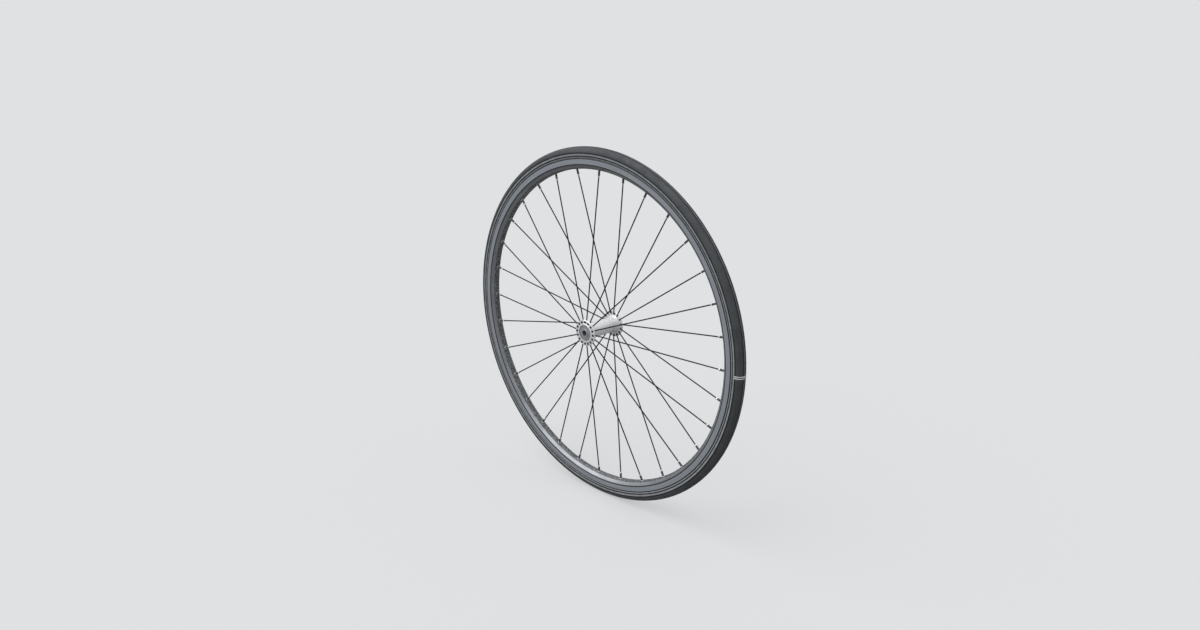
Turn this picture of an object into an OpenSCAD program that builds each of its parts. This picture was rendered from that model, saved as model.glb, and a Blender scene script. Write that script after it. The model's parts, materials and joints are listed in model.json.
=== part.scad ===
// Front bicycle wheel for a through axle: a solid tyre on a hollow hooked rim, radial spokes with
// nipples in eyelets, and a flanged hub that turns on two sealed ball bearings.
// The origin is the wheel's centre and the wheel turns about Y. Right is -Y and left is +Y, as a
// rider sees them when the wheel rolls towards +X. All sizes are in millimetres and degrees.

/* [Wheel] */
// Bead seat diameter, which the tyre and the rim share
bead_seat_d = 622; // [500:1:760]
// How far the wheel is turned from the place where a spoke lies level
turn_deg = -1.2; // [-5.6:0.1:5.6]

/* [Tyre] */
// Height of the crown above the bead seat
tyre_h = 25; // [20:0.5:34]
// Width of the tyre's section
tyre_w = 24; // [22:0.5:30]
// Half width of the flat strip between the two lines on the crown
crown_half = 2.2; // [1:0.1:4]
// Radius of the moulded lines that run round the tyre
line_r = 0.6; // [0.3:0.05:0.8]
// Height above the bead seat of the lower line on each side of the tyre
side_line_low = 9; // [7:0.5:11]
// Height above the bead seat of the upper line on each side of the tyre
side_line_high = 14; // [12:0.5:16]
// Width of the band over the tyre's butt joint
band_w = 5; // [3:0.5:10]
// Thickness of that band
band_t = 0.6; // [0.4:0.1:1]
// How far the band reaches past the upper line on each side
band_reach = 2; // [0:0.5:4]
// How far the band stands proud of the tyre
band_proud = 0.2; // [0:0.05:0.3]
// Width of the seam along the middle of the band
seam_w = 1; // [0.5:0.1:1.5]
// Depth of that seam
seam_depth = 0.3; // [0.2:0.05:0.35]

/* [Rim] */
// Width across the brake tracks
rim_w = 23; // [21:0.5:28]
// Depth from the rim's edge to its face on the hub side
rim_h = 19.7; // [17:0.1:30]
// Height of the flat brake track
track_h = 11.8; // [8:0.1:13]
// Height of the hooked edge above the bead seat
hook_h = 5; // [4:0.1:6.5]
// Thickness of the rim's walls
rim_wall = 1.3; // [1:0.1:1.6]
// Width of the narrow face on the hub side
face_w = 7.4; // [7.2:0.1:12]
// Depth of the well below the bead seat
well_depth = 3.6; // [2.5:0.1:4.5]
// Width of the well's floor
well_w = 9.6; // [9:0.1:11]

/* [Spokes] */
// Number of spokes, half of them on each flange
spoke_count = 32; // [16:2:36]
// Diameter of a spoke
spoke_d = 2.3; // [1.6:0.1:2.6]
// How much thicker a spoke is at its elbow
elbow_extra = 0.1; // [0.05:0.05:0.3]
// Radius of the elbow's centre line
elbow_r = 1.6; // [1.4:0.1:2.2]
// How much wider a spoke's head is than the spoke
head_extra = 1.8; // [1.2:0.1:2.4]
// Height of a spoke's head
head_h = 1.3; // [0.8:0.1:2]
// Distance of the rim's holes from its centre plane
stagger = 0.5; // [0:0.1:0.8]

/* [Nipples] */
// Length of a nipple with its head
nipple_l = 16; // [12:0.5:20]
// Diameter of a nipple's body
nipple_d = 4; // [3.6:0.1:4.4]
// Width across the flats for the spoke key
flats_w = 3.25; // [3:0.05:3.6]
// Length of the round nose below the flats
nose_l = 3.2; // [1.5:0.1:5]
// Diameter of a nipple's head
nipple_head_d = 6; // [5:0.1:7]
// Height of a nipple's head
nipple_head_h = 1.8; // [1.4:0.1:3]
// Thickness of an eyelet's lips
lip_t = 0.5; // [0.3:0.1:0.8]

/* [Hub] */
// Distance between the middles of the two flanges
flange_gap = 72.1; // [56:0.1:90]
// Thickness of a flange
flange_t = 3; // [2.4:0.1:4]
// How much wider the barrel between the flanges is than a bearing
barrel_extra = 0; // [-2:0.5:6]
// Radius of the curve that carries the barrel out to a flange
flare_r = 16.2; // [12:0.1:24]
// Thickness of metal between the spoke holes and the flange's edge, from the holes' middles
flange_edge = 4; // [3:0.1:6]
// Wall of the raised boss around a bearing
boss_wall = 3.6; // [2.5:0.1:6]
// How far the boss stands out of the flange
boss_h = 0.8; // [0.4:0.1:3]
// How much wider a spoke hole is than a spoke
spoke_hole_extra = 0.6; // [0.4:0.1:1]

/* [Bearings] */
// Outer diameter of a bearing
bearing_od = 28; // [26:0.5:36]
// Width of a bearing
bearing_w = 8; // [7.5:0.1:12]
// Diameter of a bearing's balls
ball_d = 4.76; // [3.5:0.01:5]
// Number of balls in a bearing
ball_count = 8; // [5:1:8]
// Thickness of a rubber seal
seal_t = 0.7; // [0.4:0.1:0.9]

/* [Axle] */
// Diameter of the hole that takes the through axle
axle_bore_d = 10; // [8:0.1:12.5]
// Wall of the axle tube inside the bearings
tube_wall = 1; // [0.8:0.1:1.5]
// How far the end rings stand out of the boss
end_proud = 1; // [0.5:0.1:12]

/* [Hidden] */
$fn = 96;
eps = 0.01;
fit_gap = 0.02;      // radial gap of a pressed or slid fit
run_gap = 0.06;      // radial gap between pieces that turn against each other
skin_gap = 0.1;      // gap between the tyre and the rim, and under the band
spoke_gap = 0.05;    // gap between a spoke and the flange's inner face, and in a nipple
lip_gap = 0.03;      // gap between an eyelet's lower lip and the curved face of the rim
nipple_gap = 0.25;   // gap between a leaning nipple's head and its eyelet

// Radii of the rim and the tyre
bead_r = bead_seat_d / 2;
edge_r = bead_r + hook_h;
face_r = edge_r - rim_h;
track_r = edge_r - track_h;
well_r = bead_r - well_depth;
crown_r = bead_r + tyre_h;
tread_r = crown_r - tyre_w / 2;
rim_half = rim_w / 2;
side_share = 0.6;                       // how far the tyre has widened at its lower side line
side_line_y = rim_half + (tyre_w / 2 - rim_half) * side_share;
edge_chamfer = 0.6;                     // chamfer of the rim's outer edges
lip_chamfer = 0.5;                      // chamfer of the hooks' inner edges
shelf_drop = 0.5;                       // fall of the bead seat towards the well
seat_corner = 0.4;                      // chamfer between a bead seat and its hook
shelf_half = well_w / 2 + 1.4;          // where the seat ends and the well begins
hook_t = 2.3;                           // thickness of the hook
hook_drop = 1.7;                        // height of the hook's nose
track_wall = 1.5;                       // thickness of the wall below the hook

// Bearings, from the axle outwards
tube_r = axle_bore_d / 2 + tube_wall - fit_gap;
bearing_ir = axle_bore_d / 2 + tube_wall;
bearing_or = bearing_od / 2;
pitch_r = (bearing_ir + bearing_or) / 2;
ball_r = ball_d / 2;
groove_r = ball_r + run_gap;
shoulder_share = 0.72;                  // where the rings' shoulders lie on a ball
shoulder_in = pitch_r - ball_r * shoulder_share;
shoulder_out = pitch_r + ball_r * shoulder_share;
seal_lap = 0.6;                         // how far a seal reaches into the outer ring
seal_or = shoulder_out + seal_lap;
seal_inset = 0.1;                       // how far a seal lies inside the bearing's face
seal_z = bearing_w / 2 - seal_inset - seal_t;
cage_half_t = 0.8;                      // half the cage's radial thickness
ring_chamfer = 0.5;                     // chamfer on the outside of a bearing and its seat
cage_end = 0.5;                         // how far the cage reaches past the balls
cage_gap = 0.2;                         // least gap between the cage and a seal
cage_half_w = min(ball_r + cage_end, seal_z - cage_gap);

// Hub shell
head_d = spoke_d + head_extra;
spoke_hole_d = spoke_d + spoke_hole_extra;
flange_z = flange_gap / 2;
flange_in = flange_z - flange_t / 2;
flange_out = flange_z + flange_t / 2;
boss_z = flange_out + boss_h;
bearing_recess = 0.2;                   // how far a bearing lies inside the boss
bearing_z = boss_z - bearing_recess - bearing_w / 2;
barrel_r = bearing_or + barrel_extra / 2;
barrel_wall = 2;                        // wall of the barrel
seat_step = 1.2;                        // height of the step that a bearing sits against
shell_bore_r = min(barrel_r - barrel_wall, bearing_or - seat_step);
boss_r = bearing_or + boss_wall;
head_clear = 1;                         // gap between a spoke's head and the boss
hole_circle_r = boss_r + head_d / 2 + head_clear;
flange_r = hole_circle_r + flange_edge;
flare_z = flange_in - sqrt(pow(flare_r, 2) - pow(flare_r - (boss_r - barrel_r), 2));
end_z = boss_z + end_proud;

// Spokes: each leaves its flange at the hole circle and leans in to the rim
elbow_d = spoke_d + elbow_extra;
leg_z = flange_in - elbow_d / 2 - spoke_gap;
reach = face_r - hole_circle_r - elbow_r;
first_lean = atan((leg_z - stagger) / reach);
lean = atan((leg_z - stagger) / (reach + elbow_r * sin(first_lean)));
elbow_z = leg_z + elbow_r * cos(lean);
elbow_x = hole_circle_r + elbow_r * (1 - sin(lean));
leg_l = (face_r - elbow_x) / cos(lean);
nipple_play = 0.3;                      // gap around a leaning nipple in its eyelet
eyelet_wall = 0.35;                     // wall of an eyelet inside the rim's hole
lip_w = 0.5;                            // how far an eyelet's lips reach over the rim
nipple_hole_r = nipple_d / 2 + nipple_play;
eyelet_r = nipple_hole_r + eyelet_wall;
lip_r = eyelet_r + lip_w;
head_z = rim_wall + lip_t + nipple_gap; // underside of a nipple's head, from the rim's face
nipple_top = head_z + nipple_head_h;
access_gap = 1.25;                      // gap around a nipple's head in the rim's well
access_r = nipple_head_d / 2 + access_gap;
lip_room = 0.1;                         // gap beside an eyelet's upper lip in the chamber
chamber_half = stagger + lip_r + lip_room;

function spoke_name(i) = str("spoke_", i < 9 ? "0" : "", i + 1);
function spoke_deg(i) = turn_deg + i * 360 / spoke_count;

// Places: a piece is drawn around Z with +z towards the right side, then laid along the wheel's axis

module along_axle() rotate([90, 0, 0]) children();

module on_side(side) {
    if (side == "right") children();
    else mirror([0, 0, 1]) children();
}

module at_bearing(side) along_axle() on_side(side) translate([0, 0, bearing_z]) children();

module at_spoke(i) rotate([0, 0, spoke_deg(i)]) on_side(i % 2 == 0 ? "right" : "left") children();

// On the rim's face at a spoke, with +z outwards along the spoke
module along_spoke(i) at_spoke(i) translate([face_r, 0, stagger]) rotate([0, 90 + lean, 0]) children();

// On the rim's face at a spoke, with +z straight away from the hub
module from_hub(i) at_spoke(i) translate([face_r, 0, stagger]) rotate([0, 90, 0]) children();

module ring(outer_r, inner_r, h) {
    difference() {
        cylinder(r = outer_r, h = h, center = true);
        cylinder(r = inner_r, h = h + 2, center = true);
    }
}

// A section's outline from the points on its +y side
function both_sides(half) =
    concat(half, [for (i = [len(half) - 1 : -1 : 0]) [half[i][0], -half[i][1]]]);

// What is cut from both halves of a section
module both_halves() {
    children();
    mirror([0, 1]) children();
}

// Tyre and rim

// The tyre above the rim, with its surface moved out by the given distance
function side_points(grow) = [
    [edge_r + skin_gap, rim_half - edge_chamfer + grow],
    [bead_r + side_line_low, side_line_y + grow],
    [tread_r, tyre_w / 2 + grow],
    [crown_r + grow, tyre_w / 2 + grow]];

// The foot of the tyre, which lies on the bead seats and fills the space between the hooks
foot_points = [
    [bead_r + skin_gap, rim_half - track_wall - seat_corner - skin_gap],
    [bead_r + 0.8, rim_half - track_wall - skin_gap],
    [edge_r - hook_drop - 1.2, rim_half - track_wall - skin_gap],
    [edge_r - hook_drop - 0.2, rim_half - hook_t - skin_gap],
    [edge_r + skin_gap, rim_half - hook_t - skin_gap]];

// Rounds the crown of what is drawn
module round_crown(grow = 0) {
    difference() {
        children();
        translate([tread_r, 0]) difference() {
            translate([0, -tyre_w]) square([tyre_w, 2 * tyre_w]);
            circle(r = tyre_w / 2 + grow);
        }
    }
}

// Places in the section where a moulded line runs round the tyre
module tyre_lines() {
    crown_line_x = tread_r + sqrt(pow(tyre_w / 2, 2) - pow(crown_half, 2));
    both_halves() {
        translate([crown_line_x, crown_half]) circle(r = line_r);
        translate([bead_r + side_line_low, side_line_y]) circle(r = line_r);
        translate([bead_r + side_line_high, tyre_w / 2]) circle(r = line_r);
    }
}

// A slice of the wheel's rim as wide as the given length at the crown, around the tyre's joint
module joint_slice(width) {
    slice_deg = width / crown_r * 180 / PI;
    rotate([0, 0, turn_deg - slice_deg / 2]) rotate_extrude(angle = slice_deg, $fn = 360) children();
}

module tyre() {
    color([0.22, 0.23, 0.24]) along_axle() difference() {
        rotate_extrude($fn = 360) difference() {
            round_crown() polygon(both_sides(concat(foot_points, side_points(0))));
            tyre_lines();
        }
        joint_slice(band_w + 2 * skin_gap) band_section(band_t - band_proud + skin_gap, 1);
    }
}

// The strip of the section from a depth below the tyre's surface to a height above it
module band_section(below, above) {
    difference() {
        round_crown(above) polygon(both_sides(side_points(above)));
        round_crown(-below) polygon(both_sides(concat([[bead_r, rim_half - 2]], side_points(-below))));
        translate([bead_r + side_line_high - band_reach - tyre_w, -tyre_w])
            square([tyre_w, 2 * tyre_w]);
    }
}

module tyre_joint_band() {
    color([0.62, 0.63, 0.64]) along_axle() difference() {
        joint_slice(band_w) band_section(band_t - band_proud, band_proud);
        joint_slice(seam_w) band_section(seam_depth - band_proud, 1);
    }
}

module rim_outline() {
    polygon(both_sides([
        [face_r, face_w / 2], [track_r, rim_half], [edge_r - edge_chamfer, rim_half],
        [edge_r, rim_half - edge_chamfer]]));
}

// Where the tyre sits: between the hooks, on the two bead seats, with the well in the middle
module rim_channel() {
    polygon(both_sides([
        [well_r, well_w / 2], [bead_r - shelf_drop, shelf_half],
        [bead_r, rim_half - track_wall - seat_corner],
        [bead_r + seat_corner, rim_half - track_wall],
        [edge_r - hook_drop - 0.8, rim_half - track_wall],
        [edge_r - hook_drop, rim_half - hook_t], [edge_r - lip_chamfer, rim_half - hook_t],
        [edge_r, rim_half - hook_t + lip_chamfer],
        [edge_r + 1, rim_half - hook_t + lip_chamfer]]));
}

module rim_chamber() {
    polygon(both_sides([
        [face_r + rim_wall, chamber_half],
        [track_r + 0.4 * rim_wall, rim_half - 1.07 * rim_wall],
        [bead_r - shelf_drop - rim_wall, rim_half - 1.07 * rim_wall],
        [bead_r - shelf_drop - rim_wall, shelf_half + 0.6 * rim_wall],
        [well_r - rim_wall, well_w / 2 + 0.45 * rim_wall]]));
}

module rim() {
    color([0.52, 0.53, 0.55]) along_axle() difference() {
        rotate_extrude($fn = 360) difference() {
            rim_outline();
            rim_channel();
            rim_chamber();
        }
        for (i = [0 : spoke_count - 1]) from_hub(i) {
            translate([0, 0, -2]) cylinder(r = eyelet_r + fit_gap, h = rim_wall + 4);
            translate([0, 0, rim_wall + 2]) cylinder(r = access_r, h = rim_h - rim_wall - 2);
        }
    }
}

module eyelet() {
    difference() {
        union() {
            translate([0, 0, -lip_t]) cylinder(r1 = lip_r - 0.2, r2 = lip_r, h = lip_t - lip_gap);
            translate([0, 0, -lip_gap - eps]) cylinder(r = eyelet_r, h = rim_wall + 2 * lip_gap);
            translate([0, 0, rim_wall + eps]) cylinder(r = lip_r, h = lip_t - eps);
        }
        translate([0, 0, -lip_t - 1]) cylinder(r = nipple_hole_r, h = rim_wall + 2 * lip_t + 2);
    }
}

module rim_eyelets() {
    color([0.75, 0.75, 0.76]) along_axle()
        for (i = [0 : spoke_count - 1]) from_hub(i) eyelet();
}

// Spokes and nipples

module nipple() {
    nose_z = nipple_top - nipple_l;
    flats_z = nose_z + nose_l;
    flats_end = -1.8;
    shank_r = nipple_d / 2;
    chamfer = 0.4;
    slot_w = 1.2;
    slot_h = 0.9;
    difference() {
        union() {
            translate([0, 0, nose_z]) cylinder(r1 = shank_r - chamfer, r2 = shank_r, h = chamfer);
            translate([0, 0, nose_z + chamfer]) cylinder(r = shank_r, h = nose_l - chamfer);
            intersection() {
                translate([0, 0, flats_z]) cylinder(r = shank_r, h = flats_end - flats_z);
                translate([-flats_w / 2, -flats_w / 2, flats_z - 1])
                    cube([flats_w, flats_w, flats_end - flats_z + 2]);
            }
            translate([0, 0, flats_end]) cylinder(r = shank_r, h = head_z - flats_end);
            translate([0, 0, head_z])
                cylinder(r1 = shank_r, r2 = nipple_head_d / 2, h = nipple_head_d / 2 - shank_r);
            translate([0, 0, head_z + nipple_head_d / 2 - shank_r])
                cylinder(r = nipple_head_d / 2, h = nipple_head_h - nipple_head_d / 2 + shank_r);
        }
        translate([0, 0, nose_z - 1]) cylinder(r = spoke_d / 2 + spoke_gap, h = nipple_l + 2);
        translate([-nipple_head_d, -slot_w / 2, nipple_top - slot_h])
            cube([2 * nipple_head_d, slot_w, slot_h + 1]);
    }
}

module spoke_nipples() {
    color([0.72, 0.72, 0.73]) along_axle()
        for (i = [0 : spoke_count - 1]) along_spoke(i) nipple();
}

// A spoke in its flange hole: head outside the flange, elbow through it, straight leg to the rim
module spoke(i) {
    crown_h = 0.5;
    lap = 0.25;
    color([0.42, 0.43, 0.45]) along_axle() at_spoke(i) {
        translate([hole_circle_r, 0, 0]) {
            translate([0, 0, elbow_z - lap]) cylinder(d = spoke_d, h = flange_out - elbow_z + 2 * lap);
            translate([0, 0, flange_out]) cylinder(d = head_d, h = head_h - crown_h);
            translate([0, 0, flange_out + head_h - crown_h])
                cylinder(d1 = head_d, d2 = head_d - 2 * crown_h, h = crown_h);
        }
        translate([hole_circle_r + elbow_r, 0, elbow_z]) rotate([90, 0, 0])
            rotate([0, 0, 180]) rotate_extrude(angle = 90 - lean)
                translate([elbow_r, 0]) circle(d = elbow_d);
        translate([elbow_x, 0, leg_z]) rotate([0, 90 + lean, 0]) translate([0, 0, -lap])
            cylinder(d = spoke_d, h = lap + leg_l + nipple_top - 0.5);
    }
}

// Hub

module shell_section() {
    difference() {
        polygon(both_sides([
            [shell_bore_r, boss_z], [boss_r - 0.3, boss_z], [boss_r, boss_z - 0.3],
            [boss_r, flange_out + 0.4], [boss_r + 0.4, flange_out], [flange_r - 0.5, flange_out],
            [flange_r, flange_out - 0.5], [flange_r, flange_in + 0.5],
            [flange_r - 0.5, flange_in]]));
        polygon(both_sides([[barrel_r, flare_z], [flange_r + 1, flare_z]]));
        both_halves() {
            intersection() {
                translate([barrel_r + flare_r, flare_z]) circle(r = flare_r, $fn = 180);
                translate([0, flare_z - 1]) square([flange_r + 1, flange_in - flare_z + 1]);
            }
            polygon([[boss_r, flange_in], [barrel_r + flare_r, flare_z - 1],
                [flange_r + 1, flare_z - 1], [flange_r + 1, flange_in]]);
            translate([0, bearing_z - bearing_w / 2])
                square([bearing_or + fit_gap, bearing_w + bearing_recess + 1]);
            polygon([[0, boss_z - ring_chamfer], [bearing_or + fit_gap, boss_z - ring_chamfer],
                [bearing_or + fit_gap + ring_chamfer + 1, boss_z + 1], [0, boss_z + 1]]);
        }
    }
}

module hub_shell() {
    sink = 0.4;
    color([0.78, 0.79, 0.81]) along_axle() difference() {
        rotate_extrude($fn = 180) shell_section();
        for (i = [0 : spoke_count - 1]) at_spoke(i) translate([hole_circle_r, 0, 0]) {
            translate([0, 0, flange_in - 1]) cylinder(d = spoke_hole_d, h = flange_t + 2);
            translate([0, 0, flange_in - eps])
                cylinder(d1 = spoke_hole_d + 2 * sink, d2 = spoke_hole_d, h = sink);
            translate([0, 0, flange_out - sink + eps])
                cylinder(d1 = spoke_hole_d, d2 = spoke_hole_d + 2 * sink, h = sink);
        }
    }
}

// Bearings

module ball_groove() {
    rotate_extrude($fn = 120) translate([pitch_r, 0]) circle(r = groove_r);
}

module bearing_outer_ring(side) {
    color([0.66, 0.67, 0.69]) at_bearing(side) difference() {
        rotate_extrude() polygon(both_sides([
            [shoulder_out, bearing_w / 2], [bearing_or - ring_chamfer, bearing_w / 2],
            [bearing_or, bearing_w / 2 - ring_chamfer]]));
        ball_groove();
        for (end = [-1, 1]) translate([0, 0, end * (seal_z + bearing_w / 2)])
            cylinder(r = seal_or + fit_gap, h = bearing_w, center = true);
    }
}

module bearing_inner_ring(side) {
    color([0.66, 0.67, 0.69]) at_bearing(side) difference() {
        ring(shoulder_in, bearing_ir, bearing_w);
        ball_groove();
    }
}

module at_balls() {
    for (i = [0 : ball_count - 1]) rotate([0, 0, i * 360 / ball_count])
        translate([pitch_r, 0, 0]) children();
}

module bearing_balls(side) {
    color([0.8, 0.8, 0.82]) at_bearing(side) at_balls() sphere(r = ball_r);
}

module bearing_cage(side) {
    color([0.72, 0.6, 0.35]) at_bearing(side) difference() {
        ring(pitch_r + cage_half_t, pitch_r - cage_half_t, 2 * cage_half_w);
        at_balls() rotate([0, 90, 0]) cylinder(r = groove_r, h = 4 * cage_half_t, center = true);
    }
}

// end is 1 for the seal on the outside of the wheel and -1 for the one inside the hub
module bearing_seal(side, end) {
    color([0.3, 0.31, 0.33]) at_bearing(side) translate([0, 0, end * (seal_z + seal_t / 2)])
        ring(seal_or, shoulder_in + run_gap, seal_t);
}

// Axle: what stays still while the wheel turns

module axle_tube() {
    color([0.55, 0.56, 0.58]) along_axle() ring(tube_r, axle_bore_d / 2, 2 * end_z);
}

module bearing_spacer() {
    spacer_l = 2 * bearing_z - bearing_w;
    color([0.6, 0.61, 0.63]) along_axle() ring(shoulder_in - 0.4, bearing_ir, spacer_l);
}

// The ring between a bearing and the fork
module end_ring(side) {
    bottom = boss_z - bearing_recess;
    chamfer = 0.4;
    color([0.8, 0.81, 0.82]) along_axle() on_side(side) rotate_extrude()
        polygon([[bearing_ir, bottom], [shoulder_in, bottom], [shoulder_in, end_z - chamfer],
            [shoulder_in - chamfer, end_z], [bearing_ir, end_z]]);
}

tyre();
tyre_joint_band();
rim();
rim_eyelets();
spoke_nipples();
hub_shell();
axle_tube();
bearing_spacer();
end_ring("right");  // right_end_ring
end_ring("left");  // left_end_ring
bearing_outer_ring("right");  // right_bearing_outer_ring
bearing_outer_ring("left");  // left_bearing_outer_ring
bearing_inner_ring("right");  // right_bearing_inner_ring
bearing_inner_ring("left");  // left_bearing_inner_ring
bearing_balls("right");  // right_bearing_balls
bearing_balls("left");  // left_bearing_balls
bearing_cage("right");  // right_bearing_cage
bearing_cage("left");  // left_bearing_cage
bearing_seal("right", 1);  // right_bearing_outer_seal
bearing_seal("left", 1);  // left_bearing_outer_seal
bearing_seal("right", -1);  // right_bearing_inner_seal
bearing_seal("left", -1);  // left_bearing_inner_seal
for (i = [0 : spoke_count - 1]) spoke(i);
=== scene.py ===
"""Looks for the bicycle wheel: materials, floor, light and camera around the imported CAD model.

The wheel turns about Y, right is -Y and up is +Z. Everything is in metres.
"""

import json
import math
from functools import reduce

import bpy
from mathutils import Matrix, Vector


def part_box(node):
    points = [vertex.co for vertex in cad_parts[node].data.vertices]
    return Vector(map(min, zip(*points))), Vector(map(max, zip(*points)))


# Axes, as places in a corner of a box
Y, Z = 1, 2

# From the edge of the rim towards the axis: its brake track, and its face on the hub side
BRAKE_TRACK_HEIGHT = 0.0118
RIM_DEPTH = 0.0197

# From the top of the tyre towards the axis: the lines along its sides
SIDE_LINE_DEPTHS = (0.0164, 0.011)

# How far the brake dust reaches out from the rim's face, and how long a nipple's bright nose is
BRAKE_DUST_REACH = 0.0025
NOSE_LENGTH = 0.00245

# Distances to each side of the wheel's middle: the tyre's crown lines, and where its sides start
CROWN_LINE = 0.0022
SIDE_START = 0.0095

# Where the tyre's joint is, up from the X axis
JOINT_ANGLE = math.radians(-1.2)

# Half widths of the dark lines
LINE_HALF = 0.0012
CROWN_LINE_HALF = 0.8 * LINE_HALF
SEAM_HALF = 0.0009
BEARING_LINE_HALF = 0.0006

# Depths below the rim's edge of the dark lines on its sides: painted shadow along the gap to the tyre, and
# dirt along the brake track's inner edge
GAP_SHADOW_DEPTH = 0.0005
TRACK_LINE_DEPTH = BRAKE_TRACK_HEIGHT - 0.0004

# Camera: where it stands around the wheel, and what it sees
CAMERA_AZIMUTH = 45.28
CAMERA_ELEVATION = 18.31
CAMERA_ROLL = -0.87
CAMERA_DISTANCE = 1.8826
CAMERA_RIGHT = 0.0019
CAMERA_UP = 0.0245
CAMERA_AXLE_SHIFT = -0.0009
CAMERA_NEAR = 0.02
FOCAL_SHARE = 1013.3 / 1200
SENSOR_WIDTH = 36.0

# Studio
FLOOR_RADIUS = 400.0
FLOOR_COLOUR = (0.605, 0.604, 0.610)
FLOOR_GLOW = 0.6
BACKDROP_COLOUR = (0.745, 0.753, 0.761)
SKY_COLOUR = (0.985, 0.995, 1.0)
LIGHT_BELOW = 0.33
LIGHT_ABOVE = 0.85
DIM_UNDER = -0.3
BRIGHT_OVER = 0.9
KEY_DIRECTION = (-0.38, -0.5, 0.85)
KEY_STRENGTH = 1.9
KEY_SPREAD = 60.0


class Graph:
    """A material and its nodes. A method that makes a value returns the socket that gives it."""

    def __init__(self, name):
        self.material = bpy.data.materials.new(name)
        self.material.use_nodes = True
        self.tree = self.material.node_tree
        self.shader = self.tree.nodes["Principled BSDF"]
        self.places = {}

    def node(self, kind, **settings):
        made = self.tree.nodes.new(kind)
        for key, value in settings.items():
            setattr(made, key, value)
        return made

    def put(self, socket, value):
        """A link where the value is another node's output, and a plain number or colour otherwise."""
        if isinstance(value, bpy.types.NodeSocket):
            self.tree.links.new(value, socket)
        else:
            socket.default_value = value

    def set(self, **sockets):
        for name, value in sockets.items():
            self.put(self.shader.inputs[name.replace("_", " ")], value)

    def math(self, operation, first, second=None):
        made = self.node("ShaderNodeMath", operation=operation)
        self.put(made.inputs[0], first)
        if second is not None:
            self.put(made.inputs[1], second)
        return made.outputs[0]

    def times(self, *values):
        return reduce(lambda product, value: self.math("MULTIPLY", product, value), values)

    def most(self, *values):
        return reduce(lambda largest, value: self.math("MAXIMUM", largest, value), values)

    def place(self, name):
        """Where the point lies: y, side, radius from the axis, or cos and sin of its angle."""
        if not self.places:
            split = self.node("ShaderNodeSeparateXYZ")
            self.put(split.inputs[0], self.node("ShaderNodeTexCoord").outputs["Object"])
            x, y, z = split.outputs
            square = self.math("ADD", self.times(x, x), self.times(z, z))
            radius = self.math("SQRT", square)
            self.places = {
                "y": y,
                "side": self.math("ABSOLUTE", y),
                "radius": radius,
                "cos": self.math("DIVIDE", x, radius),
                "sin": self.math("DIVIDE", z, radius),
            }
        return self.places[name]

    def vector(self, x, y, z):
        made = self.node("ShaderNodeCombineXYZ")
        for socket, value in zip(made.inputs, (x, y, z)):
            self.put(socket, value)
        return made.outputs[0]

    def noise(self, vector, scale, detail=2.0, roughness=0.5, w=None):
        made = self.node("ShaderNodeTexNoise", noise_dimensions="3D" if w is None else "4D")
        self.put(made.inputs["Vector"], vector)
        self.put(made.inputs["Scale"], scale)
        self.put(made.inputs["Detail"], detail)
        self.put(made.inputs["Roughness"], roughness)
        if w is not None:
            self.put(made.inputs["W"], w)
        return made.outputs["Fac"]

    def grain(self, size, detail=2.0, roughness=0.5):
        """Even noise all over, with features of about the given size."""
        points = self.node("ShaderNodeTexCoord").outputs["Object"]
        return self.noise(points, 1 / size, detail, roughness)

    def rings(self, size, around=2.0):
        """Noise drawn out around the wheel's axis, as turning, rolling or wiping leaves it."""
        cos = self.times(self.place("cos"), around)
        sin = self.times(self.place("sin"), around)
        across = self.times(self.place("y"), 1 / size)
        outward = self.times(self.place("radius"), 1 / size)
        return self.noise(self.vector(cos, sin, across), 1.0, w=outward)

    def spread(self, value, low, high, to_low=0.0, to_high=1.0):
        """Value from low to high, read smoothly as to_low to to_high."""
        made = self.node("ShaderNodeMapRange", interpolation_type="SMOOTHSTEP")
        self.put(made.inputs["Value"], value)
        self.put(made.inputs["From Min"], low)
        self.put(made.inputs["From Max"], high)
        self.put(made.inputs["To Min"], to_low)
        self.put(made.inputs["To Max"], to_high)
        return made.outputs["Result"]

    def above(self, value, edge, soft):
        """1 where the value is above the edge and 0 below it, fading over soft on each side."""
        return self.spread(value, edge - soft, edge + soft)

    def below(self, value, edge, soft):
        """1 where the value is below the edge and 0 above it, fading over soft on each side."""
        return self.spread(value, edge + soft, edge - soft)

    def line(self, value, at, half_width):
        """1 where the value is within half_width of at and 0 away from it, with soft edges."""
        distance = self.math("ABSOLUTE", self.math("SUBTRACT", value, at))
        return self.below(distance, half_width, half_width / 4)

    def mix(self, share, first, second):
        """A colour between two, each a colour or another node's output."""
        made = self.node("ShaderNodeMix", data_type="RGBA")
        self.put(made.inputs["Factor"], share)
        for socket, colour in ((made.inputs["A"], first), (made.inputs["B"], second)):
            self.put(socket, colour if isinstance(colour, bpy.types.NodeSocket) else (*colour, 1.0))
        return made.outputs["Result"]

    def bump(self, *layers):
        """Relief from (height, depth in metres, strength) layers, one on top of the other."""
        normal = None
        for height, depth, strength in layers:
            made = self.node("ShaderNodeBump")
            self.put(made.inputs["Height"], height)
            self.put(made.inputs["Distance"], depth)
            self.put(made.inputs["Strength"], strength)
            if normal is not None:
                self.put(made.inputs["Normal"], normal)
            normal = made.outputs["Normal"]
        self.put(self.shader.inputs["Normal"], normal)


def reach(name, axis):
    """How far a CAD node reaches from the wheel's centre along an axis."""
    low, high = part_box(name)
    return max(-low[axis], high[axis])


def inner_radius(node):
    """How near a CAD node comes to the wheel's axis."""
    return min(math.hypot(vertex.co.x, vertex.co.z) for vertex in node.data.vertices)


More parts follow.
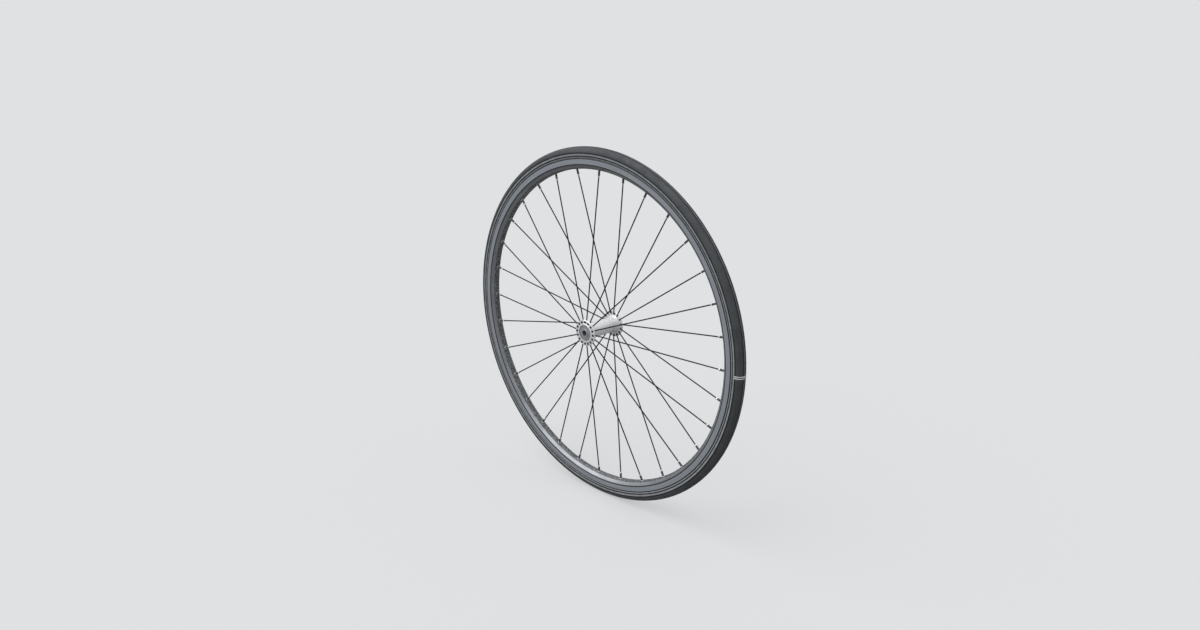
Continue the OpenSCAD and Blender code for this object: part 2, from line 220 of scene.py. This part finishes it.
def tyre_rubber():
    """Dark moulded rubber: a fine grain, pale dusty sides, a worn crown, black lines that are partly dirt
    and partly painted shade in the grooves, and a painted shadow along the gap to the rim.
    """
    g = Graph("tyre_rubber")
    side, radius = g.place("side"), g.place("radius")
    low_line, high_line = (reach("tyre", Z) - depth for depth in SIDE_LINE_DEPTHS)
    gap_shadow_line = reach("rim", Z) - GAP_SHADOW_DEPTH
    mottle = g.spread(g.grain(0.022, 3.0, 0.6), 0.32, 0.7)
    streak = g.spread(g.rings(0.0016, 3.0), 0.4, 0.72)
    colour = g.mix(mottle, (0.045, 0.049, 0.054), (0.061, 0.066, 0.072))
    colour = g.mix(g.times(streak, 0.3), colour, (0.095, 0.1, 0.106))
    crown = g.below(side, 0.75 * CROWN_LINE, 0.25 * CROWN_LINE)
    worn = g.times(crown, g.spread(g.grain(0.008, 3.0, 0.65), 0.3, 0.65, 0.3, 0.9))
    colour = g.mix(worn, colour, (0.17, 0.176, 0.183))
    dusty = g.below(radius, high_line + 0.0002, 0.0006)
    dust = g.times(dusty, g.spread(g.grain(0.012, 3.0, 0.65), 0.25, 0.7, 0.55, 1.0))
    colour = g.mix(dust, colour, (0.31, 0.324, 0.34))
    fleck = g.spread(g.grain(0.0035, 2.0, 0.7), 0.55, 0.8)
    colour = g.mix(g.times(fleck, 0.2), colour, (0.12, 0.12, 0.12))
    on_side = g.above(side, SIDE_START, 0.0005)
    # Near-black lines: partly dirt and partly painted shade in the moulded grooves on the sides and crown,
    # and painted shadow along the gap to the rim.
    side_dirt_and_shade_lines = [g.line(radius, at, LINE_HALF) for at in (gap_shadow_line, low_line, high_line)]
    lines = g.most(g.line(side, CROWN_LINE, CROWN_LINE_HALF), g.times(on_side, g.most(*side_dirt_and_shade_lines)))
    colour = g.mix(g.times(lines, 0.95), colour, (0.007, 0.0075, 0.008))
    roughness = g.spread(mottle, 0.0, 1.0, 0.66, 0.54)
    g.set(Base_Color=colour, Roughness=roughness, Specular_IOR_Level=0.3)
    g.bump((g.grain(0.0007, 3.0, 0.6), 0.00008, 0.6), (g.rings(0.0009, 6.0), 0.00006, 0.5))
    return g.material


def joint_rubber():
    """Pale vulcanised strip over the tyre's joint, with black dirt in its seam."""
    g = Graph("joint_rubber")
    cloud = g.spread(g.grain(0.004, 3.0, 0.6), 0.3, 0.75)
    colour = g.mix(cloud, (0.62, 0.63, 0.64), (0.76, 0.77, 0.78))
    seam = g.line(g.place("sin"), math.sin(JOINT_ANGLE), SEAM_HALF / reach("tyre", Z))
    colour = g.mix(g.times(seam, 0.9), colour, (0.03, 0.031, 0.033))
    g.set(Base_Color=colour, Roughness=g.spread(cloud, 0.0, 1.0, 0.55, 0.7), Specular_IOR_Level=0.3)
    g.bump((g.grain(0.0006, 3.0, 0.6), 0.00006, 0.6))
    return g.material


def rim_aluminium():
    """Satin anodised extrusion: machined brake tracks, a black dirt line along their inner edge, a painted
    shadow line along the gap to the tyre, and brake dust inside.
    """
    g = Graph("rim_aluminium")
    side, radius = g.place("side"), g.place("radius")
    edge, half_width = reach("rim", Z), reach("rim", Y)
    track, face = edge - BRAKE_TRACK_HEIGHT, edge - RIM_DEPTH
    flat_side = g.above(side, half_width - 0.0002, 0.0001)
    on_track = g.times(flat_side, g.above(radius, track + 0.0002, 0.0002))
    cloud = g.spread(g.grain(0.03, 3.0, 0.6), 0.3, 0.72)
    turned = g.rings(0.0005, 4.0)
    scratch = g.spread(g.rings(0.0012, 14.0), 0.62, 0.78)
    anodised = g.mix(cloud, (0.25, 0.262, 0.28), (0.31, 0.322, 0.34))
    machined = g.mix(g.spread(turned, 0.35, 0.7), (0.38, 0.414, 0.461), (0.48, 0.514, 0.565))
    machined = g.mix(g.times(scratch, 0.4), machined, (0.6, 0.62, 0.645))
    colour = g.mix(on_track, anodised, machined)
    inside = g.below(radius, face + BRAKE_DUST_REACH, 0.0003)
    grime = g.spread(g.grain(0.0024, 4.0, 0.7), 0.4, 0.64, 1.0, 0.25)
    colour = g.mix(g.times(inside, grime), colour, (0.02, 0.021, 0.024))
    # Near-black lines on the flat sides: dirt along the brake track's inner edge, and painted shadow along
    # the gap to the tyre.
    lines = [g.line(radius, edge - depth, LINE_HALF) for depth in (TRACK_LINE_DEPTH, GAP_SHADOW_DEPTH)]
    track_dirt_and_gap_shadow = g.times(g.most(*lines), g.above(side, half_width - 0.0013, 0.0003))
    colour = g.mix(g.times(track_dirt_and_gap_shadow, 0.95), colour, (0.007, 0.0075, 0.0085))
    metal = g.math("SUBTRACT", 0.75, g.times(g.most(track_dirt_and_gap_shadow, inside), 0.7))
    g.set(Base_Color=colour, Metallic=metal, Roughness=g.spread(turned, 0.3, 0.7, 0.34, 0.48))
    g.bump((turned, 0.00003, g.times(on_track, 0.8)), (g.grain(0.0012, 2.0), 0.00002, 0.4))
    return g.material


def spoke_steel():
    """Drawn steel wire with fine streaks along it and a little oxide."""
    g = Graph("spoke_steel")
    cos = g.times(g.place("cos"), 900.0)
    sin = g.times(g.place("sin"), 900.0)
    across = g.times(g.place("y"), 3000.0)
    along = g.times(g.place("radius"), 60.0)
    streak = g.noise(g.vector(cos, sin, across), 1.0, w=along)
    oxide = g.spread(g.grain(0.006, 3.0, 0.7), 0.52, 0.75)
    colour = g.mix(g.spread(streak, 0.3, 0.7), (0.018, 0.02, 0.024), (0.036, 0.039, 0.045))
    colour = g.mix(g.times(oxide, 0.5), colour, (0.02, 0.02, 0.021))
    g.set(Base_Color=colour, Metallic=0.7, Roughness=g.spread(streak, 0.3, 0.7, 0.32, 0.48))
    g.bump((streak, 0.00002, 0.5))
    return g.material


def nipple_brass(nipples):
    """Plated brass: dark grime on the body, and a bright nose that the spoke key has polished."""
    g = Graph("nipple_brass")
    nose = g.below(g.place("radius"), inner_radius(nipples) + NOSE_LENGTH, 0.0004)
    grime = g.spread(g.grain(0.0018, 3.0, 0.7), 0.35, 0.6)
    colour = g.mix(grime, (0.16, 0.165, 0.175), (0.06, 0.062, 0.068))
    colour = g.mix(nose, colour, (0.86, 0.865, 0.87))
    g.set(Base_Color=colour, Metallic=0.6, Roughness=g.spread(grime, 0.0, 1.0, 0.28, 0.5))
    g.bump((g.rings(0.0004, 3.0), 0.000015, 0.5))
    return g.material


def plated(name, dark, light, roughness, grain_size, metallic=1.0, tarnish=0.3):
    """Bare or plated metal: turning lines, handling marks, tarnish, and dirt around the bearings."""
    g = Graph(name)
    turned = g.rings(grain_size, 3.0)
    mark = g.spread(g.grain(0.004, 4.0, 0.7), 0.55, 0.78)
    colour = g.mix(g.spread(turned, 0.3, 0.72), dark, light)
    colour = g.mix(g.times(mark, tarnish), colour, tuple(0.45 * c for c in dark))
    hub_face = reach("hub_shell", Y)
    on_face = g.above(g.place("side"), hub_face - 0.0011, 0.00025)
    bearing_edge = reach("right_bearing_outer_ring", Z)
    dirt = g.times(on_face, g.line(g.place("radius"), bearing_edge, BEARING_LINE_HALF))
    colour = g.mix(g.times(dirt, 0.9), colour, (0.02, 0.021, 0.023))
    finish = g.spread(turned, 0.3, 0.7, roughness - 0.06, roughness + 0.08)
    g.set(Base_Color=colour, Metallic=metallic, Roughness=finish)
    g.bump((turned, 0.000015, 0.5), (g.grain(0.0006, 2.0), 0.00001, 0.3))
    return g.material


def seal_rubber():
    """Moulded seal: fine rings and a slightly oily skin."""
    g = Graph("seal_rubber")
    ring = g.rings(0.0007, 1.0)
    cloud = g.spread(g.grain(0.003, 3.0, 0.6), 0.35, 0.7)
    colour = g.mix(cloud, (0.24, 0.25, 0.27), (0.32, 0.33, 0.35))
    g.set(Base_Color=colour, Roughness=g.spread(ring, 0.3, 0.7, 0.38, 0.55), Specular_IOR_Level=0.4)
    g.bump((ring, 0.00008, 0.7))
    return g.material


# Plated and bare metals: dark and light colour, roughness, grain size, metallic, tarnish
METALS = {
    "eyelet_steel": ((0.78, 0.785, 0.8), (0.9, 0.905, 0.915), 0.32, 0.0004, 0.3, 0.15),
    "hub_aluminium": ((0.84, 0.85, 0.86), (0.94, 0.945, 0.95), 0.3, 0.0005, 0.5, 0.1),
    "axle_aluminium": ((0.2, 0.208, 0.22), (0.27, 0.278, 0.29), 0.5, 0.0005, 0.5),
    "end_ring_aluminium": ((0.36, 0.375, 0.4), (0.46, 0.475, 0.5), 0.36, 0.0004, 0.5),
    "bearing_steel": ((0.36, 0.37, 0.39), (0.46, 0.47, 0.49), 0.3, 0.0003, 0.6),
    "ball_steel": ((0.6, 0.61, 0.62), (0.72, 0.73, 0.74), 0.14, 0.0006, 1.0, 0.1),
    "cage_brass": ((0.42, 0.32, 0.15), (0.56, 0.43, 0.2), 0.34, 0.0005),
}


def materials(nodes):
    """One material for each of the record's slots."""
    made = {name: plated(name, *look) for name, look in METALS.items()}
    made["tyre_rubber"] = tyre_rubber()
    made["joint_rubber"] = joint_rubber()
    made["rim_aluminium"] = rim_aluminium()
    made["spoke_steel"] = spoke_steel()
    made["nipple_brass"] = nipple_brass(nodes["spoke_nipples"])
    made["seal_rubber"] = seal_rubber()
    return made


def dress(frame):
    """Gives each CAD node the material of its slot in the record."""
    made = materials(frame["nodes"])
    for part in frame["record"]["subparts"]:
        node = frame["nodes"][part["node"]]
        node.data.materials.clear()
        node.data.materials.append(made[part["material_slot"]])


def add_camera():
    """Aims at the wheel's centre, then moves aside, up and along the axle, and rolls."""
    azimuth, elevation, roll = map(math.radians, (CAMERA_AZIMUTH, CAMERA_ELEVATION, CAMERA_ROLL))
    level = Vector((math.cos(azimuth), math.sin(azimuth), 0.0))
    outward = Vector((math.sin(azimuth), -math.cos(azimuth), 0.0))
    back = outward * math.cos(elevation) + Vector((0.0, 0.0, math.sin(elevation)))
    upright = back.cross(level)
    right = level * math.cos(roll) + upright * math.sin(roll)
    up = upright * math.cos(roll) - level * math.sin(roll)
    place = back * CAMERA_DISTANCE + level * CAMERA_RIGHT + upright * CAMERA_UP
    place.y += CAMERA_AXLE_SHIFT
    data = bpy.data.cameras.new("camera")
    data.sensor_width = SENSOR_WIDTH
    data.lens = FOCAL_SHARE * SENSOR_WIDTH
    data.clip_start = CAMERA_NEAR
    data.clip_end = 3 * FLOOR_RADIUS
    camera = bpy.data.objects.new("camera", data)
    turned = Matrix((right, up, back)).transposed().to_4x4()
    camera.matrix_world = Matrix.Translation(place) @ turned
    bpy.context.scene.collection.objects.link(camera)
    bpy.context.scene.camera = camera


def add_floor(height):
    """A wide pale floor that the tyre stands on, lit partly by its own even glow."""
    mesh = bpy.data.meshes.new("floor")
    r = FLOOR_RADIUS
    outline = [(-r, -r, height), (r, -r, height), (r, r, height), (-r, r, height)]
    mesh.from_pydata(outline, [], [(0, 1, 2, 3)])
    floor = bpy.data.objects.new("floor", mesh)
    bpy.context.scene.collection.objects.link(floor)
    g = Graph("floor")
    lit = tuple(c * (1 - FLOOR_GLOW) for c in FLOOR_COLOUR)
    g.set(Base_Color=(*lit, 1.0), Roughness=1.0, Specular_IOR_Level=0.0)
    g.set(Emission_Color=(*BACKDROP_COLOUR, 1.0), Emission_Strength=FLOOR_GLOW)
    floor.data.materials.append(g.material)
    floor.visible_diffuse = False
    floor.visible_glossy = False


def add_world():
    """Soft light, bright above and dim below, and a pale backdrop where the camera looks past the floor."""
    world = bpy.data.worlds.new("studio")
    world.use_nodes = True
    nodes, links = world.node_tree.nodes, world.node_tree.links
    split = nodes.new("ShaderNodeSeparateXYZ")
    links.new(nodes.new("ShaderNodeTexCoord").outputs["Generated"], split.inputs[0])
    strength = nodes.new("ShaderNodeMapRange")
    strength.interpolation_type = "SMOOTHSTEP"
    strength.inputs["From Min"].default_value = DIM_UNDER
    strength.inputs["From Max"].default_value = BRIGHT_OVER
    strength.inputs["To Min"].default_value = LIGHT_BELOW
    strength.inputs["To Max"].default_value = LIGHT_ABOVE
    links.new(split.outputs["Z"], strength.inputs["Value"])
    light = nodes["Background"]
    light.inputs["Color"].default_value = (*SKY_COLOUR, 1.0)
    links.new(strength.outputs["Result"], light.inputs["Strength"])
    backdrop = nodes.new("ShaderNodeBackground")
    backdrop.inputs["Color"].default_value = (*BACKDROP_COLOUR, 1.0)
    seen = nodes.new("ShaderNodeMixShader")
    links.new(nodes.new("ShaderNodeLightPath").outputs["Is Camera Ray"], seen.inputs["Fac"])
    links.new(light.outputs[0], seen.inputs[1])
    links.new(backdrop.outputs[0], seen.inputs[2])
    links.new(seen.outputs[0], nodes["World Output"].inputs["Surface"])
    bpy.context.scene.world = world


def add_key_light():
    data = bpy.data.lights.new("key", "SUN")
    data.energy = KEY_STRENGTH
    data.angle = math.radians(KEY_SPREAD)
    data.color = SKY_COLOUR
    sun = bpy.data.objects.new("key", data)
    sun.rotation_euler = Vector(KEY_DIRECTION).to_track_quat("Z", "Y").to_euler()
    bpy.context.scene.collection.objects.link(sun)


def add_studio(floor_height):
    add_world()
    add_floor(floor_height)
    add_key_light()
    view = bpy.context.scene.view_settings
    view.view_transform = "Standard"
    view.look = "None"


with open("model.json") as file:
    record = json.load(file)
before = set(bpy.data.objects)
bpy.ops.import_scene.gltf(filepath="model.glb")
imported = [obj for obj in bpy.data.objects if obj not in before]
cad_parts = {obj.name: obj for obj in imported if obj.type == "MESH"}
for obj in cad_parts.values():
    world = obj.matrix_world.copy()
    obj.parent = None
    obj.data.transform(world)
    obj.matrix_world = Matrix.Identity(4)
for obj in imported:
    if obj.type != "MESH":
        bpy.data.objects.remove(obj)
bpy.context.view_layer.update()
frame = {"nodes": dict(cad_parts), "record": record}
dress(frame)
add_camera()
add_studio(-reach("tyre", Z))
